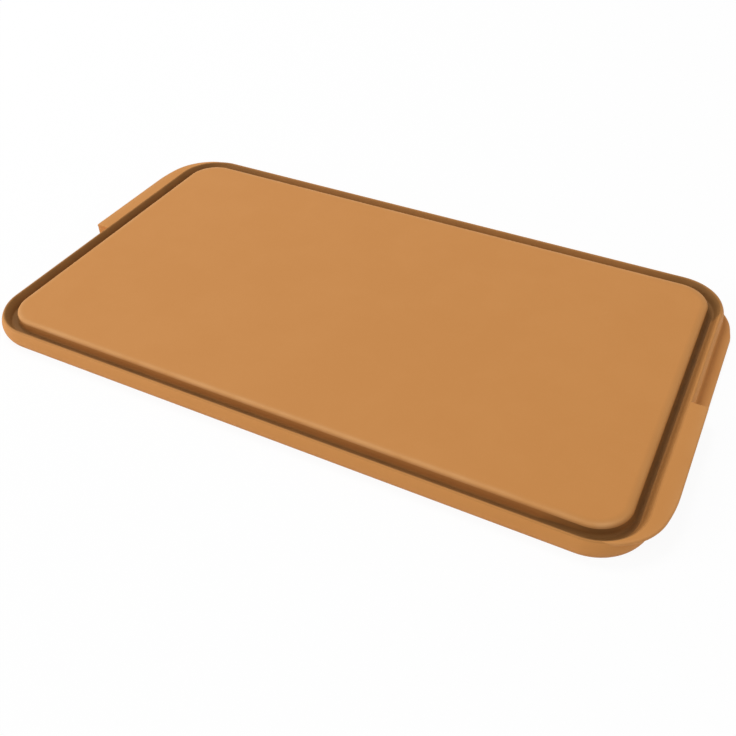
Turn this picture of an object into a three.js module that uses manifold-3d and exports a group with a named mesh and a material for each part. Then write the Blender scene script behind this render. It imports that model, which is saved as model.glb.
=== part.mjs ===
// Reversible griddle: a flat cooking plate framed by a grease channel and a low rim, with stepped
// finger grips at both ends and grill ribs underneath. Millimetres, +Z up. The origin is the centre
// of the rim's bottom land, X runs along the long side and -Y is the front.
import * as THREE from 'three';
import { mergeVertices } from 'three/addons/utils/BufferGeometryUtils.js';
import Module from 'manifold-3d';

// Rim, measured at its crest line
const crestLength = 457;
const crestWidth = 266.8;
const crestRadius = 32;
const crestLand = 1;
const rimSwell = 2.3;
const rimLean = 3.8;

// Grease channel between the rim and the plate
const channelFloorWidth = 5.3;
const channelDepth = 7;
const channelFloorThickness = 4;
const channelWallThickness = 4;
const channelFootRadius = 2;
const channelClearance = 2.5;

// Cooking plate
const plateRise = 0.8;
const plateThickness = 4.5;
const plateEdgeRadius = 2;

// Grill ribs on the underside
const ribPitch = 16.5;
const ribBaseWidth = 6;
const ribCrestWidth = 4;
const ribHeight = 5.3;
const ribEndGap = 8;
const ribSideGap = 14;

// Finger grips and the webs that step between their two levels
const gripReach = 11.3;
const gripThickness = 2.6;
const gripRadius = 39.4;
const gripBow = 1.5;
const gripRunIn = 4;
const gripEdgeChamfer = 0.8;
const upperTipAngle = THREE.MathUtils.degToRad(72);
const lowerTipAngle = THREE.MathUtils.degToRad(42);
const stepThickness = 2.4;
const stepInset = 0.3;

// Gap kept between neighbouring regions, and the fineness of the round stretches
const seam = 0.3;
const cornerSteps = 12;
const wallSteps = 6;
const edgeSteps = 4;
const gripArcSteps = 16;

// Levels and places that follow from the dimensions above
const channelUnderZ = channelClearance;
const channelFloorZ = channelUnderZ + channelFloorThickness;
const rimHeight = channelFloorZ + channelDepth;
const plateTopZ = rimHeight + plateRise;
const plateUnderZ = plateTopZ - plateThickness;
const rimFootOffset = -rimLean;
const plateOffset = rimFootOffset - channelFloorWidth;
const wellOffset = plateOffset - channelWallThickness;
const wellLength = crestLength + 2 * wellOffset;
const wellWidth = crestWidth + 2 * wellOffset;
const gripOuterX = crestLength / 2 + gripReach;

const { Manifold, Mesh: SolidMesh } = await loadSolids();

async function loadSolids() {
  const wasm = await Module();
  wasm.setup();
  return wasm;
}

// The crest line moved outwards by an offset: a rounded rectangle with concentric corners.
function crestOutline(offset) {
  const radius = crestRadius + offset;
  const centreX = crestLength / 2 - crestRadius;
  const centreY = crestWidth / 2 - crestRadius;
  const corners = [[1, 1], [-1, 1], [-1, -1], [1, -1]];
  return corners.flatMap(([sideX, sideY], quarter) =>
    Array.from({ length: cornerSteps + 1 }, (_, step) => {
      const angle = (quarter + step / cornerSteps) * Math.PI / 2;
      const x = sideX * centreX + radius * Math.cos(angle);
      return [x, sideY * centreY + radius * Math.sin(angle)];
    }));
}

function closedGeometry(points, triangles) {
  const geometry = new THREE.BufferGeometry();
  geometry.setAttribute('position', new THREE.Float32BufferAttribute(points.flat(), 3));
  geometry.setIndex(triangles.flat());
  geometry.computeVertexNormals();
  return geometry;
}

// Side faces between neighbouring rows of points, each row a closed loop.
function bands(rowCount, rowLength, closeRows) {
  const triangles = [];
  const lastRow = closeRows ? rowCount : rowCount - 1;
  for (let row = 0; row < lastRow; row++) {
    for (let column = 0; column < rowLength; column++) {
      const next = (column + 1) % rowLength;
      const low = row * rowLength;
      const high = ((row + 1) % rowCount) * rowLength;
      triangles.push([low + column, low + next, high + next]);
      triangles.push([low + column, high + next, high + column]);
    }
  }
  return triangles;
}

function sectionRows(section) {
  return section.map(([offset, z]) => crestOutline(offset).map(([x, y]) => [x, y, z]));
}

// A closed section of [offset, z] corners swept round the crest line.
function ring(section) {
  const rows = sectionRows(section);
  return closedGeometry(rows.flat(), bands(rows.length, rows[0].length, true));
}

// A solid through stacked outlines, from the lowest [offset, z] to the highest, closed by flat ends.
function stack(levels) {
  const rows = sectionRows(levels);
  const rowLength = rows[0].length;
  const points = rows.flat();
  const triangles = bands(rows.length, rowLength, false);
  const topStart = points.length - rowLength;
  const bottomCentre = points.push([0, 0, levels[0][1]]) - 1;
  const topCentre = points.push([0, 0, levels.at(-1)[1]]) - 1;
  for (let column = 0; column < rowLength; column++) {
    const next = (column + 1) % rowLength;
    triangles.push([bottomCentre, next, column]);
    triangles.push([topCentre, topStart + column, topStart + next]);
  }
  return closedGeometry(points, triangles);
}

// Points of a round stretch in a section, about a centre, from one angle to another in quarter turns.
function roundStretch(centre, radius, fromQuarter, toQuarter, steps) {
  return Array.from({ length: steps + 1 }, (_, step) => {
    const angle = (fromQuarter + (toQuarter - fromQuarter) * step / steps) * Math.PI / 2;
    return [centre[0] + radius * Math.cos(angle), centre[1] + radius * Math.sin(angle)];
  });
}

function toSolid(geometry) {
  const bare = geometry.clone();
  bare.deleteAttribute('normal');
  bare.deleteAttribute('uv');
  const merged = mergeVertices(bare, 1e-4);
  return new Manifold(new SolidMesh({
    numProp: 3,
    vertProperties: new Float32Array(merged.attributes.position.array),
    triVerts: new Uint32Array(merged.index.array),
  }));
}

function cutAway(geometry, cutter) {
  const mesh = toSolid(geometry).subtract(cutter).getMesh();
  const result = new THREE.BufferGeometry();
  result.setAttribute('position', new THREE.BufferAttribute(mesh.vertProperties, 3));
  result.setIndex(new THREE.BufferAttribute(mesh.triVerts, 1));
  result.computeVertexNormals();
  return result;
}

// The rim's outer wall, from its bottom land to its crest, swelling along one round stretch.
function outerWall() {
  const halfHeight = rimHeight / 2;
  const radius = (halfHeight ** 2 + rimSwell ** 2) / (2 * rimSwell);
  const centre = [crestLand / 2 + rimSwell - radius, halfHeight];
  const reach = Math.asin(halfHeight / radius) / (Math.PI / 2);
  return roundStretch(centre, radius, -reach, reach, wallSteps);
}

function rimWall() {
  return ring([
    ...outerWall(),
    [-crestLand / 2, rimHeight],
    [rimFootOffset, channelFloorZ],
    [rimFootOffset, channelUnderZ],
    [-crestLand / 2, 0],
  ]);
}

function greaseChannel() {
  const footRadius = Math.min(channelFootRadius, plateUnderZ - channelFloorZ - seam);
  const footCentre = [plateOffset + footRadius, channelFloorZ + footRadius];
  return ring([
    [rimFootOffset - seam, channelUnderZ],
    [rimFootOffset - seam, channelFloorZ],
    ...roundStretch(footCentre, footRadius, 3, 2, edgeSteps),
    [plateOffset, plateUnderZ],
    [wellOffset, plateUnderZ],
    [wellOffset, channelUnderZ],
  ]);
}

function griddlePlate() {
  const edgeCentre = [plateOffset - plateEdgeRadius, plateTopZ - plateEdgeRadius];
  return stack([
    [plateOffset, plateUnderZ],
    ...roundStretch(edgeCentre, plateEdgeRadius, 0, 1, edgeSteps),
  ]);
}

// Everything inside the rim's outer wall, grown by the seam: what the grips are cut back from.
function rimBlank() {
  const wall = outerWall().map(([offset, z]) => [offset + seam, z]);
  const below = [wall[0][0], -rimHeight];
  const above = [wall.at(-1)[0], 2 * rimHeight];
  return toSolid(stack([below, ...wall, above]));
}

// A grip as the right front one lies, flush with the crest: a shelf that ends near mid length at endY,
// runs straight along the end of the griddle and bends round the corner into the rim.
function gripShelf(blank, endY, tipAngle) {
  const innerX = crestLength / 2 - crestRadius;
  const arcCentre = new THREE.Vector2(gripOuterX - gripBow - gripRadius, gripRadius - crestWidth / 2);
  const straightEnd = new THREE.Vector2(gripOuterX, arcCentre.y + gripRunIn);
  const fromCentre = straightEnd.clone().sub(arcCentre);
  const tangentTurn = Math.acos(gripRadius / fromCentre.length());
  const arcEnd = Math.atan2(fromCentre.y, fromCentre.x) - tangentTurn;

  const plan = new THREE.Shape();
  plan.moveTo(innerX, endY);
  plan.lineTo(innerX, -crestWidth / 2);
  plan.absarc(arcCentre.x, arcCentre.y, gripRadius, -tipAngle, arcEnd, false);
  plan.lineTo(straightEnd.x, straightEnd.y);
  plan.lineTo(gripOuterX, endY);
  const chamfer = Math.min(gripEdgeChamfer, gripThickness / 3);
  const shelf = new THREE.ExtrudeGeometry(plan, {
    depth: gripThickness - 2 * chamfer,
    bevelThickness: chamfer,
    bevelSize: chamfer,
    bevelOffset: -chamfer,
    bevelSegments: 1,
    curveSegments: gripArcSteps,
  });
  shelf.translate(0, 0, rimHeight - gripThickness + chamfer);
  return cutAway(shelf, blank);
}

// The right web, which joins the end of the upper grip to the lower grip beneath it.
function gripStep(blank) {
  const innerX = crestLength / 2 - crestRadius;
  const outerX = gripOuterX - stepInset;
  const height = rimHeight - 2 * gripThickness - 2 * seam;
  const web = new THREE.BoxGeometry(outerX - innerX, stepThickness, height);
  web.translate((innerX + outerX) / 2, -stepThickness / 2, rimHeight / 2);
  return cutAway(web, blank);
}

// One rib, hung from the plate's underside and running from front to back.
function grillRib() {
  const section = new THREE.Shape();
  section.moveTo(-ribBaseWidth / 2, 0);
  section.lineTo(ribBaseWidth / 2, 0);
  section.lineTo(ribCrestWidth / 2, ribHeight);
  section.lineTo(-ribCrestWidth / 2, ribHeight);
  section.closePath();
  const length = wellWidth - 2 * ribEndGap;
  const rib = new THREE.ExtrudeGeometry(section, { depth: length, bevelEnabled: false });
  rib.translate(0, 0, -length / 2);
  rib.rotateX(-Math.PI / 2);
  return rib;
}

function coatedPiece(name, geometry) {
  const copperCoat = new THREE.MeshStandardMaterial({ color: 0xc89057, roughness: 0.5, metalness: 0.1 });
  const mesh = new THREE.Mesh(geometry, copperCoat);
  mesh.name = name;
  return mesh;
}

const griddle = new THREE.Group();
griddle.add(coatedPiece('griddle_plate', griddlePlate()));
griddle.add(coatedPiece('grease_channel', greaseChannel()));
griddle.add(coatedPiece('rim_wall', rimWall()));

// Turning the griddle half round brings each grip onto its like. The lower grips are shaped as if they
// were upper ones and then turned over, and they reach on beneath the webs.
const blank = rimBlank();
const upperGrip = gripShelf(blank, 0, upperTipAngle);
const lowerGrip = gripShelf(blank, stepThickness, lowerTipAngle);
const grips = {
  right_front_grip: { shape: upperGrip, turn: [0, 0, 0], z: 0 },
  left_rear_grip: { shape: upperGrip, turn: [0, 0, Math.PI], z: 0 },
  right_rear_grip: { shape: lowerGrip, turn: [Math.PI, 0, 0], z: rimHeight },
  left_front_grip: { shape: lowerGrip, turn: [0, Math.PI, 0], z: rimHeight },
};
for (const [name, { shape, turn, z }] of Object.entries(grips)) {
  const piece = coatedPiece(name, shape);
  piece.rotation.set(...turn);
  piece.position.z = z;
  griddle.add(piece);
}

const step = gripStep(blank);
griddle.add(coatedPiece('right_grip_step', step));
const leftStep = coatedPiece('left_grip_step', step);
leftStep.rotation.z = Math.PI;
griddle.add(leftStep);

const ribCount = Math.floor((wellLength - 2 * ribSideGap) / ribPitch) + 1;
for (let index = 0; index < ribCount; index++) {
  const rib = coatedPiece(`grill_rib_${String(index + 1).padStart(2, '0')}`, grillRib());
  rib.position.set((index - (ribCount - 1) / 2) * ribPitch, 0, plateUnderZ);
  griddle.add(rib);
}

export default griddle;
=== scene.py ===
import math
from collections import namedtuple

import bmesh
import bpy
from mathutils import Matrix, Vector


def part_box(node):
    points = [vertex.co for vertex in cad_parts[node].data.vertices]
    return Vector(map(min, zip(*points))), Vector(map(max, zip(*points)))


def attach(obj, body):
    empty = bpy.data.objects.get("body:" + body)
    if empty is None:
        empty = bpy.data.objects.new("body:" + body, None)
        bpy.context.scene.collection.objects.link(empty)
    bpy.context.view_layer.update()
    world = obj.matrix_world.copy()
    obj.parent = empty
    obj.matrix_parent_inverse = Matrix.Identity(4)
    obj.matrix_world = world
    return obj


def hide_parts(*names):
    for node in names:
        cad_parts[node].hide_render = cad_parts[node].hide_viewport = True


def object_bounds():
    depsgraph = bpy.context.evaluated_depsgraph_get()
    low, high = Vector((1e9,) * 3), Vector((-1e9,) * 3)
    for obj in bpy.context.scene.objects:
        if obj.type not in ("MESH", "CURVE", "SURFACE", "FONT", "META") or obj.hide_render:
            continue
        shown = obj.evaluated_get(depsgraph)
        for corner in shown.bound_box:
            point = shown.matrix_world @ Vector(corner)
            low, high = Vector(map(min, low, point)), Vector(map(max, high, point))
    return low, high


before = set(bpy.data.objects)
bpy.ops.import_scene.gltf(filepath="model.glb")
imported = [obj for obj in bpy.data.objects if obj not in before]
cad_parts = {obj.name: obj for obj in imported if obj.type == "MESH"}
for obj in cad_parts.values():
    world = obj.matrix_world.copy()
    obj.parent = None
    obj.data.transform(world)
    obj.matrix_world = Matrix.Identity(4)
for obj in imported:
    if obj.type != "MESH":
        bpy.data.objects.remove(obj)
CAD_LOW, CAD_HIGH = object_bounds()

# The scene is in metres, and sizes below are written in millimetres.
MM = 0.001

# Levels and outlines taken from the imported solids
RIM_LOW, RIM_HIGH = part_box("rim_wall")
PLATE_LOW, PLATE_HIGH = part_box("griddle_plate")
CHANNEL_LOW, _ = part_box("grease_channel")
GRIP_LOW, GRIP_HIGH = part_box("right_front_grip")
LOWER_GRIP_LOW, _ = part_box("right_rear_grip")
WEB_LOW, WEB_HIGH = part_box("right_grip_step")
RIB_NODES = sorted(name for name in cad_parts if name.startswith("grill_rib_"))
FIRST_RIB_LOW, FIRST_RIB_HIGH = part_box(RIB_NODES[0])
LAST_RIB_LOW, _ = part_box(RIB_NODES[-1])

# Rim: a narrow rounded crest, an inner wall that leans out and an outer wall that swells
CREST_LAND = 1 * MM
CREST_RADIUS = 32 * MM
CREST_ROUND = 0.78 * MM
RIM_SWELL = 2.3 * MM
RIM_LEAN = 3.8 * MM
RIM_FOOT_ROUND = 1.5 * MM
RIM_BASE_ROUND = 0.6 * MM
RIM_TOP = RIM_HIGH.z
RIM_MIDDLE = RIM_TOP / 2
WALL_RADIUS = (RIM_MIDDLE ** 2 + RIM_SWELL ** 2) / (2 * RIM_SWELL)
WALL_CENTRE = CREST_LAND / 2 + RIM_SWELL - WALL_RADIUS
CREST_HALF_X = RIM_HIGH.x - RIM_SWELL - CREST_LAND / 2
CREST_HALF_Y = RIM_HIGH.y - RIM_SWELL - CREST_LAND / 2

# Grease channel and the well under the plate
FLOOR_THICKNESS = 4 * MM
CHANNEL_WALL = 4 * MM
CHANNEL_FOOT_ROUND = 2 * MM
CHANNEL_BASE_ROUND = 1 * MM
WELL_ROUND = 2 * MM
TONGUE_HEIGHT = 0.5 * MM
TONGUE_INSET = CHANNEL_WALL / 3
SEAM_FROM_FOOT = 1.2 * MM
FLOOR_SEAM = RIM_LEAN + SEAM_FROM_FOOT
FLOOR_Z = CHANNEL_LOW.z + FLOOR_THICKNESS
PLATE_OFFSET = PLATE_HIGH.x - CREST_HALF_X
WELL_OFFSET = PLATE_OFFSET - CHANNEL_WALL

# Cooking plate
PLATE_EDGE_ROUND = 2 * MM
PLATE_MARGIN = 6 * MM

# How far a plain corner lies from a rounded one, in roundings, so that it is clear of the round stretch
PAST_ROUND = 1.1

# Finger grips: thin shelves with round edges, blended into the rim
GRIP_RADIUS = 39.4 * MM
GRIP_BOW = 1.5 * MM
GRIP_RUN_IN = 4 * MM
GRIP_EDGE_ROUND = 1.15 * MM
GRIP_EDGE_SHARE = 0.45
GRIP_END_ROUND = 0.7 * MM
GRIP_ROOT_ROUND = 1.5 * MM
GRIP_ROOT_OFFSET = 0.1 * MM
GRIP_LEAST_WIDTH = 4 * GRIP_ROOT_OFFSET
GRIP_THICKNESS = GRIP_HIGH.z - GRIP_LOW.z
GRIP_OUTER_X = GRIP_HIGH.x

# What the upper and lower grips differ in: where the end mid side lies, how far the tip reaches round
# the corner, and how softly the outline turns at the bend and at the tip
GripForm = namedtuple("GripForm", "end_y tip_angle bend_blend tip_blend")
UPPER_GRIP = GripForm(
    end_y=GRIP_HIGH.y, tip_angle=math.radians(72), bend_blend=2 * MM, tip_blend=2.5 * MM)
LOWER_GRIP = GripForm(
    end_y=-LOWER_GRIP_LOW.y, tip_angle=math.radians(42), bend_blend=0.4 * MM, tip_blend=0.8 * MM)

# Webs between the two levels of grips
WEB_EDGE_ROUND = 0.8 * MM
WEB_FOOT_ROUND = 1 * MM
WEB_SINK = 0.6 * MM

# Grill ribs, whose ends narrow to a share of their width
RIB_CREST_WIDTH = 4 * MM
RIB_CREST_ROUND = 0.9 * MM
RIB_ROOT_ROUND = 1.2 * MM
RIB_END_ROUND = 5 * MM
RIB_END_SHARE = 0.4
RIB_DEPTH = FIRST_RIB_HIGH.z - FIRST_RIB_LOW.z

# Fineness of the round stretches
CORNER_STEPS = 32
FILLET_STEPS = 6
WALL_STEPS = 12
GRIP_CORNER_STEPS = 40
GRIP_STRAIGHT_STEPS = 24
END_STEPS = 5
SHARP_ANGLE = math.radians(40)
WELD_DISTANCE = 0.01 * MM

# Coat colours, linear
COPPER = (0.555, 0.244, 0.071, 1)
COPPER_DEEP = (0.53, 0.227, 0.063, 1)
COPPER_PALE = (0.61, 0.285, 0.095, 1)
# Paler edge colour: partly wear and partly a painted highlight
WORN_AND_HIGHLIGHTED_EDGE = (0.64, 0.34, 0.14, 1)
# Painted shade: the dark tone laid over the channel where it lies in shade
PAINTED_SHADE_TONE = (0.235, 0.115, 0.037, 1)

# Coat texture: clouds of a deeper tone, pale flake and orange peel. A span is where on its noise, which
# runs from 0 to 1, an effect sets in and where it is full.
COAT_SPECULAR = 0.08
CLOUD_SIZE = 30 * MM
CLOUD_DETAIL = 3
CLOUD_SPAN = (0.35, 0.6)
CLOUD_AMOUNT = 0.35
FLAKE_SIZE = 0.5 * MM
FLAKE_DETAIL = 1
FLAKE_SPAN = (0.62, 0.8)
FLAKE_AMOUNT = 0.5
SHEEN_SPAN = (0.3, 0.7)
SHEEN_CHANGE = 0.01
PEEL_DETAIL = 2
PEEL_DEPTH = 0.05 * MM
PATCH_DETAIL = 3

# Painted shade on the section of the channel: a darker tone where the channel lies in shade. It fades out
# just under the crest, and up the foot of the plate's side it thins out by a power.
SHADE_FADE = 0.9 * MM
SHADE_INSIDE_CREST = 0.7
SHADE_OVER_CREST = 0.35
SHADE_ON_WALL = 0.95
SHADE_ON_FLOOR = 2.5
SHADE_CLIMB = 2
SHADE_ON_PLATE = 0.28
SHADE_ON_EDGE = 0.06
SHADE_UNDER_EDGE = 0.35

# Painted shade along the channel. It gathers toward both ends, most at the right one, and is lighter on the
# wall of the right-hand run, where the light falls.
SHADE_LEFT_SHARE = 1
SHADE_MIDDLE_SHARE = 0.7
SHADE_SIDES_MEET = 1 * MM
SHADE_LIT_SHARE = 0.4
SHADE_LIT_FADE = 6 * MM
SHADE_LIT_BEYOND_X = PLATE_HIGH.x
SHADE_LIT_SHORT_OF_Y = CREST_HALF_Y - CREST_RADIUS
SHADE_PATCH_SIZE = 15 * MM
SHADE_PATCH_SPAN = (0.3, 0.7)
SHADE_PATCH_LEAST = 0.85

# How far from the middle the painted shade starts to gather and has gathered, and its share at the right
# end
ShadeGather = namedtuple("ShadeGather", "start end right_share")
BODY_SHADE = ShadeGather(start=150 * MM, end=205 * MM, right_share=1)
CHANNEL_SHADE = ShadeGather(start=172 * MM, end=218 * MM, right_share=5)

# Edges are paler in a narrow line, partly from wear and partly as a painted highlight, but on the plate
# not along the right-hand run, which lies in shade
WEAR_AND_HIGHLIGHT_NARROWING = 3
WEAR_AND_HIGHLIGHT_FADE = 12 * MM
WEAR_AND_HIGHLIGHT_EVERYWHERE = 1000 * MM
WEAR_AND_HIGHLIGHT_PATCH_SIZE = 20 * MM
WEAR_AND_HIGHLIGHT_PATCH_SPAN = (0.3, 0.65)
WEAR_AND_HIGHLIGHT_PATCH_LEAST = 0.35

# What the coats of the pieces differ in
CoatFinish = namedtuple("CoatFinish", "film roughness peel_size peel_strength rub_amount rub_end")
# The plate's pale edge, a painted highlight as well as wear, is stronger and ends toward the shaded
# right-hand run
PLATE_FINISH = CoatFinish(
    film=CHANNEL_SHADE, roughness=0.55, peel_size=1.6 * MM, peel_strength=0.10,
    rub_amount=0.60, rub_end=PLATE_HIGH.x)
CHANNEL_FINISH = CoatFinish(
    film=CHANNEL_SHADE, roughness=0.58, peel_size=1.2 * MM, peel_strength=0.18,
    rub_amount=0.25, rub_end=WEAR_AND_HIGHLIGHT_EVERYWHERE)
BODY_FINISH = CHANNEL_FINISH._replace(film=BODY_SHADE)
GRILL_FINISH = BODY_FINISH._replace(roughness=0.50, rub_amount=0.40)

# Camera, solved from the straight edges of the rim
CAMERA_PLACE = Vector((235.04, -450.11, 377.27)) * MM + Vector((0, 0, RIM_TOP))
CAMERA_AZIMUTH = math.radians(27.21)
CAMERA_ELEVATION = math.radians(40.757)
CAMERA_ROLL = math.radians(-0.488)
CAMERA_LENS = 43.514
CAMERA_SENSOR = 36

# White stage and soft lights, in metres, degrees and watts
WHITE = (1, 1, 1, 1)
FLOOR_REACH = 8.0
FLOOR_GREY = (0.9, 0.9, 0.9, 1)
FLOOR_GLOW_SHARE = 0.93
WORLD_LEVEL = 0.39
Softbox = namedtuple("Softbox", "name azimuth elevation distance size power")
SOFTBOXES = (
    Softbox("rear_left_key", azimuth=-120, elevation=60, distance=3.0, size=1.1, power=38),
    Softbox("front_left_low", azimuth=-50, elevation=18, distance=3.0, size=1.8, power=53),
    Softbox("right_fill", azimuth=90, elevation=30, distance=3.0, size=1.8, power=22),
)

# Kinds of node sockets
COLOR = "NodeSocketColor"
NUMBER = "NodeSocketFloat"
COUNT = "NodeSocketInt"
CHOICE = "NodeSocketBool"
VECTOR = "NodeSocketVector"
GEOMETRY = "NodeSocketGeometry"
MATERIAL = "NodeSocketMaterial"

# A corner of a section: offset from the crest line, level, rounding, how much its edge is paler from wear
# and a painted highlight, and how much painted shade darkens it
Corner = namedtuple("Corner", "offset z round rub film", defaults=(0, 0, 0))

# A station along a grip: its place on the crest line, the way out from there, and how wide the grip is
# and how far its section is drawn in at its round end
Station = namedtuple("Station", "place out width inset")


# Node trees

def new_group(name, kind, inputs, outputs):
    """A node group with named sockets, each given with its kind."""
    group = bpy.data.node_groups.new(name, kind)
    for in_out, sockets in (("INPUT", inputs), ("OUTPUT", outputs)):
        for label, socket_type in sockets.items():
            group.interface.new_socket(label, in_out=in_out, socket_type=socket_type)
    return group


def add_node(tree, kind, inputs=None, **settings):
    """Adds a node, sets its properties and fills its inputs."""
    node = tree.nodes.new(kind)
    for name, value in settings.items():
        setattr(node, name, value)
    fill_inputs(tree, node, inputs or {})
    return node


def fill_inputs(tree, node, inputs):
    """Fills a node's inputs with values or with other nodes' outputs."""
    for key, value in inputs.items():
        if isinstance(value, bpy.types.NodeSocket):
            tree.links.new(value, node.inputs[key])
        else:
            node.inputs[key].default_value = value


def swept_section_tree():
    """Sweeps the object's section round the crest line, and closes an open one with flat faces."""
    tree = new_group(
        "swept_section", "GeometryNodeTree",
        {"Section": GEOMETRY, "Length": NUMBER, "Width": NUMBER, "Corner Radius": NUMBER,
         "Corner Steps": COUNT, "Round Steps": COUNT, "Close Faces": CHOICE, "Face Offset": NUMBER,
         "Upper Face": NUMBER, "Lower Face": NUMBER, "Finish": MATERIAL},
        {"Piece": GEOMETRY})
    given = add_node(tree, "NodeGroupInput").outputs
    path = crest_path(tree, given)
    swept = add_node(
        tree, "GeometryNodeCurveToMesh",
        {"Curve": path, "Profile Curve": rounded_section(tree, given)}).outputs["Mesh"]
    upper = closing_face(tree, path, given["Face Offset"], given["Upper Face"])
    lower = closing_face(tree, path, given["Face Offset"], given["Lower Face"])
    turned = add_node(tree, "GeometryNodeFlipFaces", {"Mesh": lower}).outputs["Mesh"]
    joined = add_node(tree, "GeometryNodeJoinGeometry")
    for part in (swept, upper, turned):
        tree.links.new(part, joined.inputs["Geometry"])
    closed = add_node(
        tree, "GeometryNodeMergeByDistance",
        {"Geometry": joined.outputs["Geometry"], "Distance": WELD_DISTANCE}).outputs["Geometry"]
    choice = add_node(
        tree, "GeometryNodeSwitch",
        {"Switch": given["Close Faces"], "False": swept, "True": closed}, input_type="GEOMETRY")
    finish_tree(tree, choice.outputs["Output"], given["Finish"])
    return tree


def rounded_section(tree, given):
    """The section as a curve, with each corner rounded by its own amount."""
    rounding = add_node(tree, "GeometryNodeInputNamedAttribute", {"Name": "round"}, data_type="FLOAT")
    section = add_node(tree, "GeometryNodeMeshToCurve", {"Mesh": given["Section"]})
    rounded = add_node(
        tree, "GeometryNodeFilletCurve",
        {"Curve": section.outputs["Curve"], "Count": given["Round Steps"],
         "Radius": rounding.outputs["Attribute"], "Limit Radius": True}, mode="POLY")
    return rounded.outputs["Curve"]


def crest_path(tree, given):
    """The crest line: a rectangle with round corners."""
    rectangle = add_node(
        tree, "GeometryNodeCurvePrimitiveQuadrilateral",
        {"Width": given["Length"], "Height": given["Width"]}, mode="RECTANGLE")
    crest = add_node(
        tree, "GeometryNodeFilletCurve",
        {"Curve": rectangle.outputs["Curve"], "Count": given["Corner Steps"],
         "Radius": given["Corner Radius"]}, mode="POLY")
    path = add_node(tree, "GeometryNodeSetCurveNormal", {"Curve": crest.outputs["Curve"]}, mode="Z_UP")
    return path.outputs["Curve"]


def closing_face(tree, path, offset, level):
    """A flat face inside the swept piece, at an offset from the crest line and at a level."""
    normal = add_node(tree, "GeometryNodeInputNormal")
    outward = add_node(
        tree, "ShaderNodeVectorMath", {0: normal.outputs["Normal"], "Scale": offset}, operation="SCALE")
    outline = add_node(
        tree, "GeometryNodeSetPosition", {"Geometry": path, "Offset": outward.outputs[0]})
    face = add_node(tree, "GeometryNodeFillCurve", {"Curve": outline.outputs["Geometry"]}, mode="NGONS")
    lift = add_node(tree, "ShaderNodeCombineXYZ", {"Z": level})
    lifted = add_node(
        tree, "GeometryNodeSetPosition", {"Geometry": face.outputs["Mesh"], "Offset": lift.outputs[0]})
    return lifted.outputs["Geometry"]


def rib_row_tree():
    """Repeats the object's rib in a row."""
    tree = new_group(
        "rib_row", "GeometryNodeTree",
        {"Rib": GEOMETRY, "Count": COUNT, "Start": VECTOR, "Step": VECTOR, "Finish": MATERIAL},
        {"Piece": GEOMETRY})
    given = add_node(tree, "NodeGroupInput").outputs
    places = add_node(
        tree, "GeometryNodeMeshLine",
        {"Count": given["Count"], "Start Location": given["Start"], "Offset": given["Step"]}, mode="OFFSET")
    ribs = add_node(
        tree, "GeometryNodeInstanceOnPoints", {"Points": places.outputs["Mesh"], "Instance": given["Rib"]})
    finish_tree(tree, ribs.outputs["Instances"], given["Finish"])
    return tree


def finish_tree(tree, geometry, finish):
    """Ends a tree: makes repeats real and gives the piece its finish."""
    real = add_node(tree, "GeometryNodeRealizeInstances", {"Geometry": geometry})
    coated = add_node(
        tree, "GeometryNodeSetMaterial", {"Geometry": real.outputs["Geometry"], "Material": finish})
    add_node(tree, "NodeGroupOutput", {"Piece": coated.outputs["Geometry"]})


def grown_piece(name, base, tree, values):
    """Grows a base mesh with a node tree and keeps the result as a plain mesh object."""
    piece = bpy.data.objects.new(name, base)
    bpy.context.scene.collection.objects.link(piece)
    modifier = piece.modifiers.new("grow", "NODES")
    modifier.node_group = tree
    for item in tree.interface.items_tree:
        if item.in_out == "INPUT" and item.name in values:
            modifier[item.identifier] = values[item.name]
    evaluated = piece.evaluated_get(bpy.context.evaluated_depsgraph_get())
    mesh = bpy.data.meshes.new_from_object(evaluated)
    piece.modifiers.remove(modifier)
    piece.data = mesh
    mesh.name = name
    smooth(mesh)
    return piece


def smooth(mesh):
    """Shades a mesh smooth, apart from its sharp edges."""
    mesh.shade_smooth()
    mesh.set_sharp_from_angle(angle=SHARP_ANGLE)


def arc(centre, radius, start, end, steps):
    """Points of a round stretch, with angles in degrees."""
    angles = [math.radians(start + (end - start) * step / steps) for step in range(steps + 1)]
    return [(centre[0] + radius * math.cos(a), centre[1] + radius * math.sin(a)) for a in angles]


# Sections of the casting, each listed clockwise as seen with the offset to the right and Z up

def outer_wall():
    """The rim's outer wall from the crest down to the base, along one round stretch."""
    reach = math.asin(RIM_MIDDLE / WALL_RADIUS)
    corners = []
    for step in range(1, WALL_STEPS):
        angle = reach * (1 - 2 * step / WALL_STEPS)
        z = RIM_MIDDLE + WALL_RADIUS * math.sin(angle)
        corners.append(Corner(WALL_CENTRE + WALL_RADIUS * math.cos(angle), z))
    return corners


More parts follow.
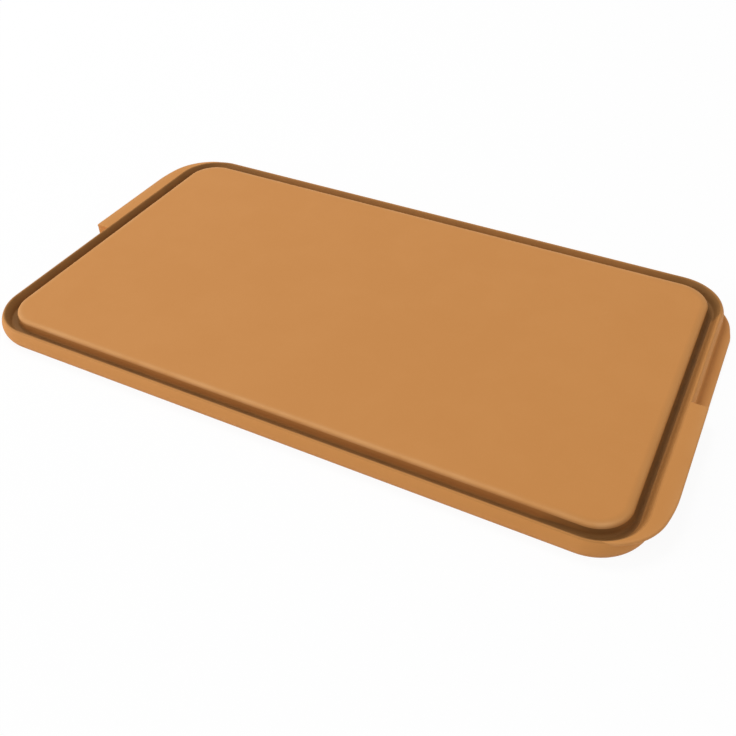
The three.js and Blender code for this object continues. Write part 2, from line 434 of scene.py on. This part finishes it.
def rim_section():
    """The rim, from the seam in the channel's floor over the crest and round the base."""
    wall_lean = (RIM_LEAN - CREST_LAND / 2) / (RIM_TOP - FLOOR_Z)
    # Painted shade lies on the channel's floor and inner wall, and thins over the crest
    return [
        Corner(-FLOOR_SEAM, FLOOR_Z, film=SHADE_ON_FLOOR),
        Corner(-RIM_LEAN, FLOOR_Z, RIM_FOOT_ROUND, film=SHADE_ON_WALL),
        Corner(-CREST_LAND / 2 - SHADE_FADE * wall_lean, RIM_TOP - SHADE_FADE, film=SHADE_ON_WALL),
        Corner(-CREST_LAND / 2, RIM_TOP, CREST_ROUND, film=SHADE_INSIDE_CREST),
        Corner(CREST_LAND / 2, RIM_TOP, CREST_ROUND, film=SHADE_OVER_CREST),
        *outer_wall(),
        Corner(CREST_LAND / 2, RIM_LOW.z, RIM_BASE_ROUND, rub=1),
        Corner(-CREST_LAND / 2, RIM_LOW.z, RIM_BASE_ROUND, rub=1),
        Corner(-RIM_LEAN, CHANNEL_LOW.z, CHANNEL_BASE_ROUND),
        Corner(-FLOOR_SEAM, CHANNEL_LOW.z),
    ]


def channel_foot():
    """The round foot of the plate's side, on which the painted shade thins out as it climbs from the floor.
    """
    centre = (PLATE_OFFSET + CHANNEL_FOOT_ROUND, FLOOR_Z + CHANNEL_FOOT_ROUND)
    points = arc(centre, CHANNEL_FOOT_ROUND, 180, 270, FILLET_STEPS)
    drops = [(step / FILLET_STEPS) ** SHADE_CLIMB for step in range(FILLET_STEPS + 1)]
    painted_shades = [SHADE_ON_PLATE + (SHADE_ON_FLOOR - SHADE_ON_PLATE) * drop for drop in drops]
    return [Corner(offset, z, film=film) for (offset, z), film in zip(points, painted_shades)]


def channel_section():
    """The channel: the plate's side, the floor up to the seam, the well and a tongue into the plate."""
    tongue_in = WELL_OFFSET - PAST_ROUND * WELL_ROUND
    tongue_out = PLATE_OFFSET - TONGUE_INSET
    tongue_top = PLATE_LOW.z + TONGUE_HEIGHT
    # Painted shade lies on the floor and on the plate's side
    return [
        Corner(PLATE_OFFSET, PLATE_LOW.z, film=SHADE_ON_PLATE),
        *channel_foot(),
        Corner(-FLOOR_SEAM, FLOOR_Z, film=SHADE_ON_FLOOR),
        Corner(-FLOOR_SEAM, CHANNEL_LOW.z),
        Corner(WELL_OFFSET, CHANNEL_LOW.z, CHANNEL_BASE_ROUND, rub=1),
        Corner(WELL_OFFSET, PLATE_LOW.z, WELL_ROUND),
        Corner(tongue_in, PLATE_LOW.z),
        Corner(tongue_in, tongue_top),
        Corner(tongue_out, tongue_top),
        Corner(tongue_out, PLATE_LOW.z),
    ]


def plate_section():
    """The plate's edge, open toward the middle, where flat faces close it."""
    inner = PLATE_OFFSET - PLATE_MARGIN
    under_edge = PLATE_HIGH.z - PAST_ROUND * PLATE_EDGE_ROUND
    # The plate's top edge is paler from wear and a painted highlight, and its side takes painted shade
    return [
        Corner(inner, PLATE_HIGH.z),
        Corner(PLATE_OFFSET, PLATE_HIGH.z, PLATE_EDGE_ROUND, rub=1, film=SHADE_ON_EDGE),
        Corner(PLATE_OFFSET, under_edge, film=SHADE_UNDER_EDGE),
        Corner(PLATE_OFFSET, PLATE_LOW.z, film=SHADE_ON_PLATE),
        Corner(inner, PLATE_LOW.z),
    ]


def section_mesh(name, corners, closed):
    """A section as a line of edges. The sweep takes its X outwards and its Y downwards."""
    mesh = bpy.data.meshes.new(name)
    count = len(corners)
    edges = [(i, (i + 1) % count) for i in range(count if closed else count - 1)]
    mesh.from_pydata([(c.offset, -c.z, 0) for c in corners], edges, [])
    for label in ("round", "rub", "film"):
        values = mesh.attributes.new(label, "FLOAT", "POINT")
        values.data.foreach_set("value", [getattr(c, label) for c in corners])
    return mesh


def swept_piece(name, corners, tree, finish, closed=True):
    """A piece of the casting that runs all the way round, from its section."""
    values = {
        "Length": 2 * CREST_HALF_X, "Width": 2 * CREST_HALF_Y, "Corner Radius": CREST_RADIUS,
        "Corner Steps": CORNER_STEPS, "Round Steps": FILLET_STEPS, "Finish": finish,
        "Close Faces": not closed, "Face Offset": corners[0].offset,
        "Upper Face": corners[0].z, "Lower Face": corners[-1].z,
    }
    return grown_piece(name, section_mesh(name + "_section", corners, closed), tree, values)


# Lofted pieces

def loft(name, rows, wear_and_highlights, finish):
    """A closed mesh through rows of points, each row a closed loop, with flat ends."""
    mesh = bpy.data.meshes.new(name)
    columns = len(rows[0])
    faces = [list(range(columns)), list(range((len(rows) - 1) * columns, len(rows) * columns))]
    for row in range(len(rows) - 1):
        for column in range(columns):
            low = row * columns + column
            low_next = row * columns + (column + 1) % columns
            faces.append([low, low_next, low_next + columns, low + columns])
    mesh.from_pydata([p for row in rows for p in row], [], faces)
    values = mesh.attributes.new("rub", "FLOAT", "POINT")
    values.data.foreach_set("value", [rub for row in wear_and_highlights for rub in row])
    outward_faces(mesh)
    mesh.materials.append(finish)
    smooth(mesh)
    piece = bpy.data.objects.new(name, mesh)
    bpy.context.scene.collection.objects.link(piece)
    return piece


def outward_faces(mesh):
    """Turns the faces of a closed mesh outwards."""
    shell = bmesh.new()
    shell.from_mesh(mesh)
    bmesh.ops.recalc_face_normals(shell, faces=shell.faces)
    shell.to_mesh(mesh)
    shell.free()


def wall_offset(z):
    """How far the rim's outer wall lies outside the crest line at a level."""
    return WALL_CENTRE + math.sqrt(WALL_RADIUS ** 2 - (z - RIM_MIDDLE) ** 2)


def soft_least(a, b, blend):
    """The lesser of two lengths, with a round turn where they cross."""
    share = max(blend - abs(a - b), 0) / blend
    return min(a, b) - share ** 2 * blend / 4


# Each grip is shaped as the right front one, from its end mid side along the crest and round the corner.

def corner_centre():
    """The centre of the crest's round corner."""
    return Vector((CREST_HALF_X - CREST_RADIUS, CREST_RADIUS - CREST_HALF_Y))


def grip_centre():
    """The centre of the grip's own arc at the corner."""
    return Vector((GRIP_OUTER_X - GRIP_BOW - GRIP_RADIUS, GRIP_RADIUS - CREST_HALF_Y))


def way_out(angle):
    """The way out from the middle of a corner, turned from X toward the front."""
    return Vector((math.cos(angle), -math.sin(angle)))


def straight_width(y, bend_blend):
    """The grip's width beside the straight crest, which narrows where the outline runs in to the corner."""
    break_y = grip_centre().y + GRIP_RUN_IN
    from_centre = Vector((GRIP_RADIUS + GRIP_BOW, GRIP_RUN_IN))
    lean = math.acos(GRIP_RADIUS / from_centre.length) - math.atan2(from_centre.y, from_centre.x)
    reach = GRIP_OUTER_X - CREST_HALF_X
    return soft_least(reach, reach - (break_y - y) * math.tan(lean), bend_blend)


def corner_width(angle, form):
    """The grip's width at an angle round the crest's corner, to the grip's arc or the chord at its tip."""
    out = way_out(angle)
    apart = corner_centre() - grip_centre()
    along = apart.dot(out)
    to_arc = -along + math.sqrt(along ** 2 - apart.length_squared + GRIP_RADIUS ** 2)
    tip = grip_centre() + GRIP_RADIUS * way_out(form.tip_angle)
    chord = Vector((corner_centre().x, -CREST_HALF_Y)) - tip
    across = chord.orthogonal()
    to_chord = across.dot(tip - corner_centre()) / across.dot(out)
    return soft_least(to_arc, to_chord, form.tip_blend) - CREST_RADIUS


def grip_section(width, inset):
    """A grip's section as (offset, z) points and their edge wear and painted highlight: top, round edge,
    underside and root.
    """
    top = RIM_TOP - inset
    bottom = RIM_TOP - GRIP_THICKNESS + inset
    outer = width - inset
    edge = min(GRIP_EDGE_ROUND, (top - bottom) / 2, GRIP_EDGE_SHARE * (outer - GRIP_ROOT_OFFSET))
    edge_x = outer - edge
    root_x = min(wall_offset(bottom - GRIP_ROOT_ROUND), edge_x - GRIP_ROOT_OFFSET)
    root = min(GRIP_ROOT_ROUND, edge_x - root_x)
    rounds = arc((edge_x, top - edge), edge, 90, 0, FILLET_STEPS)
    rounds += arc((edge_x, bottom + edge), edge, 0, -90, FILLET_STEPS)
    fillet = arc((root_x + root, bottom - root), root, 90, 180, FILLET_STEPS)
    points = [(GRIP_ROOT_OFFSET, top), *rounds, *fillet, (GRIP_ROOT_OFFSET, bottom - root)]
    wear_and_highlights = [0] + [1] * len(rounds) + [0] * (len(fillet) + 1)
    return points, wear_and_highlights


def straight_station(form, y, inset):
    """A station beside the straight crest."""
    place = Vector((CREST_HALF_X, y))
    return Station(place, Vector((1, 0)), straight_width(place.y, form.bend_blend), inset)


def corner_station(form, angle):
    """A station at an angle round the crest's corner."""
    out = way_out(angle)
    return Station(corner_centre() + CREST_RADIUS * out, out, corner_width(angle, form), 0)


def grip_stations(form):
    """Stations along a grip: its round end mid side, its straight run and its corner up to the tip."""
    stations = []
    for step in range(END_STEPS):
        turn = math.pi / 2 * step / END_STEPS
        y = form.end_y - GRIP_END_ROUND * (1 - math.cos(turn))
        stations.append(straight_station(form, y, GRIP_END_ROUND * (1 - math.sin(turn))))
    start_y = form.end_y - GRIP_END_ROUND
    for step in range(GRIP_STRAIGHT_STEPS):
        y = start_y + (corner_centre().y - start_y) * step / GRIP_STRAIGHT_STEPS
        stations.append(straight_station(form, y, 0))
    for step in range(GRIP_CORNER_STEPS + 1):
        stations.append(corner_station(form, form.tip_angle * step / GRIP_CORNER_STEPS))
    return [station for station in stations if station.width > GRIP_LEAST_WIDTH]


def grip(name, form, turn, finish):
    """A finger grip, shaped as the right front one and turned into its place."""
    rows, wear_and_highlights = [], []
    for station in grip_stations(form):
        points, row_wear_and_highlights = grip_section(station.width, station.inset)
        row = [Vector((*(station.place + offset * station.out), z)) for offset, z in points]
        rows.append([turn @ point for point in row])
        wear_and_highlights.append(row_wear_and_highlights)
    return loft(name, rows, wear_and_highlights, finish)


def web(name, turn, finish):
    """The upright web mid side, which spreads into the lower grip behind and the upper one in front."""
    bottom = RIM_LOW.z + GRIP_THICKNESS - WEB_SINK
    top = RIM_TOP - GRIP_THICKNESS + WEB_SINK
    foot = WEB_FOOT_ROUND + WEB_SINK
    levels = sorted({bottom + foot * s / END_STEPS for s in range(END_STEPS + 1)}
                    | {top - foot * s / END_STEPS for s in range(END_STEPS + 1)})
    rows = []
    for z in levels:
        front = WEB_LOW.y - spread(top - WEB_SINK - z)
        back = WEB_HIGH.y + spread(z - bottom - WEB_SINK)
        rows.append([turn @ Vector((x, y, z)) for x, y in web_plan(front, back)])
    return loft(name, rows, [[0] * len(row) for row in rows], finish)


def spread(height):
    """How far a web's foot spreads at a height above the grip that it runs into."""
    rise = min(max(height, 0), WEB_FOOT_ROUND)
    return WEB_FOOT_ROUND - math.sqrt(WEB_FOOT_ROUND ** 2 - (WEB_FOOT_ROUND - rise) ** 2)


def web_plan(front, back):
    """A web's outline from above, with its two outer corners rounded."""
    inner = CREST_HALF_X
    outer = WEB_HIGH.x - WEB_EDGE_ROUND
    corner_front = arc((outer, front + WEB_EDGE_ROUND), WEB_EDGE_ROUND, -90, 0, END_STEPS)
    corner_back = arc((outer, back - WEB_EDGE_ROUND), WEB_EDGE_ROUND, 0, 90, END_STEPS)
    return [(inner, front), *corner_front, *corner_back, (inner, back)]


def rib_section():
    """Open outline of a rib as (x, depth below the plate), from its left root to its right one."""
    half_base = (FIRST_RIB_HIGH.x - FIRST_RIB_LOW.x) / 2
    half_crest = RIB_CREST_WIDTH / 2
    lean = math.degrees(math.atan2(half_base - half_crest, RIB_DEPTH))
    root_centre = (half_base + RIB_ROOT_ROUND, RIB_ROOT_ROUND)
    crest_centre = (half_crest - RIB_CREST_ROUND, RIB_DEPTH - RIB_CREST_ROUND)
    right = arc(root_centre, RIB_ROOT_ROUND, -90, -180 + lean, FILLET_STEPS)
    right += arc(crest_centre, RIB_CREST_ROUND, lean, 90, FILLET_STEPS)
    return [(-x, d) for x, d in right] + [(x, d) for x, d in reversed(right)]


def rib_mesh(name, finish):
    """One rib at the origin, hanging from the plate's underside, with round ends."""
    outline = rib_section()
    half_length = FIRST_RIB_HIGH.y
    ends = [math.pi / 2 * step / END_STEPS for step in range(END_STEPS)]
    shrink = [(half_length - RIB_END_ROUND * (1 - math.sin(a)), math.cos(a)) for a in ends]
    stations = [(-y, share) for y, share in reversed(shrink)] + shrink
    rows = []
    for y, share in stations:
        width = RIB_END_SHARE + (1 - RIB_END_SHARE) * share
        rows.append([Vector((x * width, y, -d * share)) for x, d in outline])
    crest_z = -RIB_CREST_ROUND / 2 - RIB_DEPTH / 2
    wear_and_highlights = [[1 if point.z < crest_z else 0 for point in row] for row in rows]
    rib = loft(name, rows, wear_and_highlights, finish)
    mesh = rib.data
    bpy.data.objects.remove(rib)
    return mesh


# Finishes

def ramp(tree, value, start, end, low=0, high=1):
    """Runs from low to high while a value runs from start to end."""
    node = add_node(
        tree, "ShaderNodeMapRange",
        {"Value": value, "From Min": start, "From Max": end, "To Min": low, "To Max": high})
    return node.outputs[0]


def calculated(tree, operation, first, second=0, clamp=False):
    """One step of arithmetic."""
    node = add_node(tree, "ShaderNodeMath", {0: first, 1: second}, operation=operation, use_clamp=clamp)
    return node.outputs[0]


def blended(tree, share, base, other):
    """A colour with a share of another one mixed in."""
    mix = add_node(tree, "ShaderNodeMix", {"Factor": share, "A": base, "B": other}, data_type="RGBA")
    return mix.outputs["Result"]


def sized_noise(tree, place, size, detail):
    """Noise whose features are about the given size, from 0 to 1."""
    scale = calculated(tree, "DIVIDE", 1, size)
    noise = add_node(tree, "ShaderNodeTexNoise", {"Vector": place, "Scale": scale, "Detail": detail})
    return noise.outputs["Fac"]


def past_line(tree, place, line, fade, side):
    """From 0 at a line to 1 where a fade has ended, on its upper side (ADD) or lower side (SUBTRACT)."""
    return ramp(tree, place, line, calculated(tree, side, line, fade))


def coat_texture_group():
    """The fired coat: broad clouds of tone, fine metal flake and a faint orange-peel surface."""
    group = new_group(
        "coat_texture", "ShaderNodeTree",
        {"Tone": COLOR, "Deep Tone": COLOR, "Pale Tone": COLOR, "Cloud Size": NUMBER,
         "Flake Size": NUMBER, "Peel Size": NUMBER, "Roughness": NUMBER},
        {"Color": COLOR, "Roughness": NUMBER, "Height": NUMBER})
    given = add_node(group, "NodeGroupInput").outputs
    place = add_node(group, "ShaderNodeTexCoord").outputs["Object"]
    clouds = sized_noise(group, place, given["Cloud Size"], CLOUD_DETAIL)
    flake = sized_noise(group, place, given["Flake Size"], FLAKE_DETAIL)
    peel = sized_noise(group, place, given["Peel Size"], PEEL_DETAIL)
    cloud_share = ramp(group, clouds, *CLOUD_SPAN, high=CLOUD_AMOUNT)
    flake_share = ramp(group, flake, *FLAKE_SPAN, high=FLAKE_AMOUNT)
    deepened = blended(group, cloud_share, given["Tone"], given["Deep Tone"])
    lightened = blended(group, flake_share, deepened, given["Pale Tone"])
    sheen = ramp(group, clouds, *SHEEN_SPAN, low=-SHEEN_CHANGE, high=SHEEN_CHANGE)
    roughness = calculated(group, "ADD", given["Roughness"], sheen)
    add_node(group, "NodeGroupOutput", {"Color": lightened, "Roughness": roughness, "Height": peel})
    return group


def edge_wear_and_highlight_group():
    """Edges paler from wear and a painted highlight, in patches along the edge, fading out toward its end
    in X.
    """
    group = new_group(
        "edge_wear_and_highlight", "ShaderNodeTree",
        {"Color": COLOR, "Worn and Highlight Color": COLOR, "Amount": NUMBER, "Rub End": NUMBER, "Wear and Highlight Fade": NUMBER,
         "Patch Size": NUMBER},
        {"Color": COLOR})
    given = add_node(group, "NodeGroupInput").outputs
    place = add_node(group, "ShaderNodeTexCoord").outputs["Object"]
    along = add_node(group, "ShaderNodeSeparateXYZ", {"Vector": place}).outputs
    rub = add_node(group, "ShaderNodeAttribute", attribute_name="rub").outputs["Fac"]
    patches = sized_noise(group, place, given["Patch Size"], PATCH_DETAIL)
    patchy = ramp(group, patches, *WEAR_AND_HIGHLIGHT_PATCH_SPAN, low=WEAR_AND_HIGHLIGHT_PATCH_LEAST)
    patchy_wear_and_highlight = calculated(group, "MULTIPLY", calculated(group, "POWER", rub, WEAR_AND_HIGHLIGHT_NARROWING), patchy)
    reached = past_line(group, along["X"], given["Rub End"], given["Wear and Highlight Fade"], "SUBTRACT")
    amount = calculated(group, "MULTIPLY", reached, given["Amount"])
    mask = calculated(group, "MULTIPLY", patchy_wear_and_highlight, amount)
    add_node(group, "NodeGroupOutput",
             {"Color": blended(group, mask, given["Color"], given["Worn and Highlight Color"])})
    return group


def painted_shade_group():
    """Painted shade: a darker tone laid over the channel where it lies in shade."""
    group = new_group(
        "painted_channel_shade", "ShaderNodeTree",
        {"Color": COLOR, "Shade Color": COLOR, "Left Share": NUMBER, "Middle Share": NUMBER,
         "Right Share": NUMBER, "Gather Start": NUMBER, "Gather End": NUMBER, "Lit Share": NUMBER,
         "Lit Beyond X": NUMBER, "Lit Short of Y": NUMBER, "Lit Fade": NUMBER, "Patch Size": NUMBER},
        {"Color": COLOR})
    given = add_node(group, "NodeGroupInput").outputs
    place = add_node(group, "ShaderNodeTexCoord").outputs["Object"]
    along = add_node(group, "ShaderNodeSeparateXYZ", {"Vector": place}).outputs
    film = add_node(group, "ShaderNodeAttribute", attribute_name="film").outputs["Fac"]
    spread_shade = calculated(group, "MULTIPLY", film, shade_share(group, given, along), clamp=True)
    patches = sized_noise(group, place, given["Patch Size"], PATCH_DETAIL)
    patchy = ramp(group, patches, *SHADE_PATCH_SPAN, low=SHADE_PATCH_LEAST)
    mask = calculated(group, "MULTIPLY", spread_shade, patchy)
    add_node(group, "NodeGroupOutput",
             {"Color": blended(group, mask, given["Color"], given["Shade Color"])})
    return group


def shade_share(group, given, along):
    """Painted shade depth: deeper toward both ends of X, lighter on the lit run beyond one X short of one
    Y.
    """
    end_share = ramp(
        group, along["X"], -SHADE_SIDES_MEET, SHADE_SIDES_MEET, given["Left Share"], given["Right Share"])
    from_middle = calculated(group, "ABSOLUTE", along["X"])
    gathered = ramp(
        group, from_middle, given["Gather Start"], given["Gather End"], given["Middle Share"], end_share)
    beyond = past_line(group, along["X"], given["Lit Beyond X"], given["Lit Fade"], "ADD")
    short = past_line(group, along["Y"], given["Lit Short of Y"], given["Lit Fade"], "SUBTRACT")
    lit_run = calculated(group, "MULTIPLY", beyond, short)
    return ramp(group, lit_run, 0, 1, gathered, given["Lit Share"])


def copper_coat(name, finish, groups):
    """The satin copper-coloured ceramic coat, with painted shade and edges pale from wear and a painted
    highlight.
    """
    material = bpy.data.materials.new(name)
    material.use_nodes = True
    tree = material.node_tree
    texture, film, rub = groups
    coat = add_node(
        tree, "ShaderNodeGroup",
        {"Tone": COPPER, "Deep Tone": COPPER_DEEP, "Pale Tone": COPPER_PALE, "Cloud Size": CLOUD_SIZE,
         "Flake Size": FLAKE_SIZE, "Peel Size": finish.peel_size, "Roughness": finish.roughness},
        node_tree=texture).outputs
    # Painted shade over the channel and the plate's side
    shaded = add_node(
        tree, "ShaderNodeGroup",
        {"Color": coat["Color"], "Shade Color": PAINTED_SHADE_TONE, "Left Share": SHADE_LEFT_SHARE,
         "Middle Share": SHADE_MIDDLE_SHARE, "Right Share": finish.film.right_share,
         "Gather Start": finish.film.start, "Gather End": finish.film.end,
         "Lit Share": SHADE_LIT_SHARE, "Lit Beyond X": SHADE_LIT_BEYOND_X,
         "Lit Short of Y": SHADE_LIT_SHORT_OF_Y, "Lit Fade": SHADE_LIT_FADE,
         "Patch Size": SHADE_PATCH_SIZE},
        node_tree=film).outputs
    # Edges paler from wear and a painted highlight
    with_wear_and_highlight = add_node(
        tree, "ShaderNodeGroup",
        {"Color": shaded["Color"], "Worn and Highlight Color": WORN_AND_HIGHLIGHTED_EDGE, "Amount": finish.rub_amount,
         "Rub End": finish.rub_end, "Wear and Highlight Fade": WEAR_AND_HIGHLIGHT_FADE, "Patch Size": WEAR_AND_HIGHLIGHT_PATCH_SIZE},
        node_tree=rub).outputs
    bump = add_node(
        tree, "ShaderNodeBump",
        {"Height": coat["Height"], "Strength": finish.peel_strength, "Distance": PEEL_DEPTH}).outputs
    fill_inputs(
        tree, tree.nodes["Principled BSDF"],
        {"Base Color": with_wear_and_highlight["Color"], "Roughness": coat["Roughness"], "Normal": bump["Normal"],
         "Specular IOR Level": COAT_SPECULAR})
    return material


# Stage, light and camera

def camera_white(tree):
    """1 for what the camera sees, directly or in a reflection, and 0 for what lights the griddle."""
    path = add_node(tree, "ShaderNodeLightPath").outputs
    seen = calculated(tree, "MAXIMUM", path["Is Camera Ray"], path["Is Glossy Ray"])
    return calculated(tree, "MAXIMUM", seen, path["Is Transmission Ray"])


def white_floor():
    """A floor that looks white to the camera and keeps the griddle's shadow."""
    mesh = bpy.data.meshes.new("floor")
    far, z = FLOOR_REACH, CAD_LOW.z
    mesh.from_pydata([(-far, -far, z), (far, -far, z), (far, far, z), (-far, far, z)], [], [(0, 1, 2, 3)])
    material = bpy.data.materials.new("floor_white")
    material.use_nodes = True
    tree = material.node_tree
    tree.nodes.clear()
    matte = add_node(tree, "ShaderNodeBsdfDiffuse", {"Color": FLOOR_GREY})
    glow = add_node(tree, "ShaderNodeEmission", {"Color": WHITE, "Strength": 1})
    share = calculated(tree, "MULTIPLY", camera_white(tree), FLOOR_GLOW_SHARE)
    mix = add_node(tree, "ShaderNodeMixShader", {0: share, 1: matte.outputs[0], 2: glow.outputs[0]})
    add_node(tree, "ShaderNodeOutputMaterial", {"Surface": mix.outputs[0]})
    mesh.materials.append(material)
    floor = bpy.data.objects.new("floor", mesh)
    bpy.context.scene.collection.objects.link(floor)


def white_world():
    """Even light from all sides, behind which the camera sees white."""
    world = bpy.data.worlds.new("studio")
    world.use_nodes = True
    tree = world.node_tree
    level = ramp(tree, camera_white(tree), 0, 1, WORLD_LEVEL, 1)
    fill_inputs(tree, tree.nodes["Background"], {"Color": WHITE, "Strength": level})
    bpy.context.scene.world = world


def soft_light(box):
    """A square soft light that faces the griddle. Azimuth 0 stands in front, at -Y, and 90 at +X."""
    light = bpy.data.lights.new(box.name, "AREA")
    light.shape = "SQUARE"
    light.size = box.size
    light.energy = box.power
    a, e = math.radians(box.azimuth), math.radians(box.elevation)
    back = Vector((math.sin(a) * math.cos(e), -math.cos(a) * math.cos(e), math.sin(e)))
    lamp = bpy.data.objects.new(box.name, light)
    lamp.location = back * box.distance
    lamp.rotation_euler = back.to_track_quat("Z", "Y").to_euler()
    bpy.context.scene.collection.objects.link(lamp)


def photo_camera():
    """The camera of the photograph."""
    camera_data = bpy.data.cameras.new("camera")
    camera_data.sensor_width = CAMERA_SENSOR
    camera_data.lens = CAMERA_LENS
    camera = bpy.data.objects.new("camera", camera_data)
    turn = Matrix.Rotation(CAMERA_AZIMUTH, 4, "Z")
    tilt = Matrix.Rotation(math.pi / 2 - CAMERA_ELEVATION, 4, "X")
    roll = Matrix.Rotation(CAMERA_ROLL, 4, "Z")
    camera.matrix_world = Matrix.Translation(CAMERA_PLACE) @ turn @ tilt @ roll
    bpy.context.scene.collection.objects.link(camera)
    bpy.context.scene.camera = camera


def stand_for(piece, *nodes):
    """Puts a piece in the place of its solids."""
    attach(piece, "root")
    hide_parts(*nodes)


photo_camera()
white_floor()
white_world()
for softbox in SOFTBOXES:
    soft_light(softbox)

coat_groups = (coat_texture_group(), painted_shade_group(), edge_wear_and_highlight_group())
plate_coat = copper_coat("cooking_plate_coat", PLATE_FINISH, coat_groups)
channel_coat = copper_coat("grease_channel_coat", CHANNEL_FINISH, coat_groups)
body_coat = copper_coat("cast_body_coat", BODY_FINISH, coat_groups)
grill_coat = copper_coat("grill_face_coat", GRILL_FINISH, coat_groups)

swept_section = swept_section_tree()
plate = swept_piece("cooking_plate", plate_section(), swept_section, plate_coat, closed=False)
stand_for(plate, "griddle_plate")
channel = swept_piece("grease_channel_casting", channel_section(), swept_section, channel_coat)
stand_for(channel, "grease_channel")
rim = swept_piece("rim_casting", rim_section(), swept_section, body_coat)
stand_for(rim, "rim_wall")

# Each lower grip and each left piece is a turned copy of the right front form.
as_built = Matrix.Identity(4)
half_round = Matrix.Rotation(math.pi, 4, "Z")
raise_back = Matrix.Translation((0, 0, RIM_TOP))
over_front = raise_back @ Matrix.Rotation(math.pi, 4, "X")
over_side = raise_back @ Matrix.Rotation(math.pi, 4, "Y")
for side, form, turn in (
        ("right_front_grip", UPPER_GRIP, as_built), ("left_rear_grip", UPPER_GRIP, half_round),
        ("right_rear_grip", LOWER_GRIP, over_front), ("left_front_grip", LOWER_GRIP, over_side)):
    stand_for(grip(side + "_casting", form, turn, body_coat), side)
stand_for(web("right_web_casting", as_built, body_coat), "right_grip_step")
stand_for(web("left_web_casting", half_round, body_coat), "left_grip_step")

rib_pitch = (LAST_RIB_LOW.x - FIRST_RIB_LOW.x) / (len(RIB_NODES) - 1)
rib_start = ((FIRST_RIB_LOW.x + FIRST_RIB_HIGH.x) / 2, 0, FIRST_RIB_HIGH.z)
ribs = grown_piece(
    "grill_ribs", rib_mesh("grill_rib", grill_coat), rib_row_tree(),
    {"Count": len(RIB_NODES), "Start": rib_start, "Step": (rib_pitch, 0, 0), "Finish": grill_coat})
stand_for(ribs, *RIB_NODES)

bpy.context.scene.view_settings.view_transform = "Standard"
